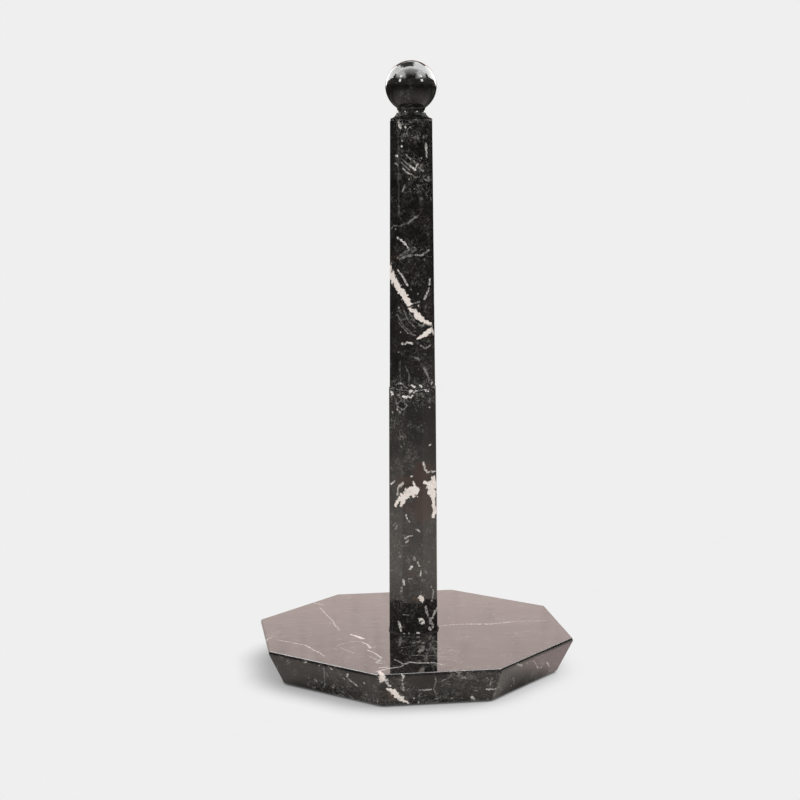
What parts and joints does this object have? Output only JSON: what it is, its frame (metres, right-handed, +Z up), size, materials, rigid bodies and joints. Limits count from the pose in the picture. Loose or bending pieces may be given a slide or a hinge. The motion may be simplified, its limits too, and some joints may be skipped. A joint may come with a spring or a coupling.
{
  "type": "paper towel holder",
  "caption": "Free-standing paper towel holder: octagonal black marble slab with undercut sides, faceted upright post and ball finial; a roll drops over the post.",
  "frame": {"origin": "on the surface that the holder stands on, under the post's axis", "axes": "+Z up along the post, -Y towards the front side of the octagon, +X to the right"},
  "size_m": [0.1524, 0.1524, 0.3044],
  "materials": {
    "base_marble": "polished black marble with pale veins",
    "lower_post_marble": "polished black marble with cream patches",
    "upper_post_marble": "polished black marble with pale diagonal veins",
    "finial_marble": "polished black marble",
    "bedding_resin": "black setting resin",
    "plated_steel": "bright zinc plate",
    "foot_rubber": "matt black rubber"
  },
  "bodies": {
    "root": {"base_slab": "base_marble", "lower_post": "lower_post_marble", "upper_post": "upper_post_marble", "ball_finial": "finial_marble", "base_resin": "bedding_resin", "middle_resin": "bedding_resin", "finial_resin": "bedding_resin", "socket_resin": "bedding_resin", "tie_rod": "plated_steel", "flat_washer": "plated_steel", "spring_washer": "plated_steel", "hex_nut": "plated_steel", "rubber_foot_front_right": "foot_rubber", "rubber_foot_back_right": "foot_rubber", "rubber_foot_back_left": "foot_rubber", "rubber_foot_front_left": "foot_rubber"}
  },
  "joints": []
}
